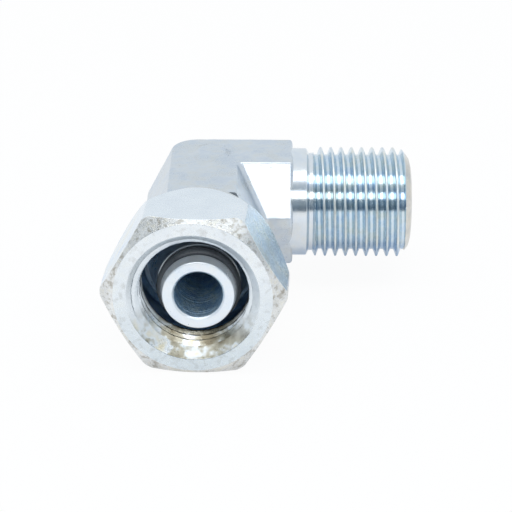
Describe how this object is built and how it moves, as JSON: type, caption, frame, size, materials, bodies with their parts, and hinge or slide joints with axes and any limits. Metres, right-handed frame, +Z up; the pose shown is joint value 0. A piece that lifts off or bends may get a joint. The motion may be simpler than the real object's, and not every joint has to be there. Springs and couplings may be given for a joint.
{
  "type": "hydraulic elbow adapter",
  "caption": "Right-angle hydraulic adapter: a forged elbow with a threaded stud, a tapered sealing nose with a seal ring, and a loose hexagon nut.",
  "frame": {"origin": "centre of the overall box at the plane of the nut's lower flat, on which the part stands", "axes": "+X along the stud, out of its threaded end; -Y along the sealing nose, out of its tip; +Z up, square to both bores"},
  "size_m": [0.043, 0.043, 0.022],
  "materials": {
    "forged_steel": "bright zinc plate over a forged and turned surface",
    "nut_steel": "bright zinc plate over a turned surface",
    "seal_rubber": "smooth black rubber"
  },
  "bodies": {
    "elbow": {"elbow_body": "forged_steel", "seal_ring": "seal_rubber"},
    "nut": {"swivel_nut": "nut_steel"}
  },
  "joints": [
    {"name": "nut_spin", "type": "hinge", "parent": "elbow", "child": "nut", "pos_m": [-0.00851, -0.00594, 0.011], "axis": [-0.0471, -0.9989, 0], "continuous": true}
  ]
}
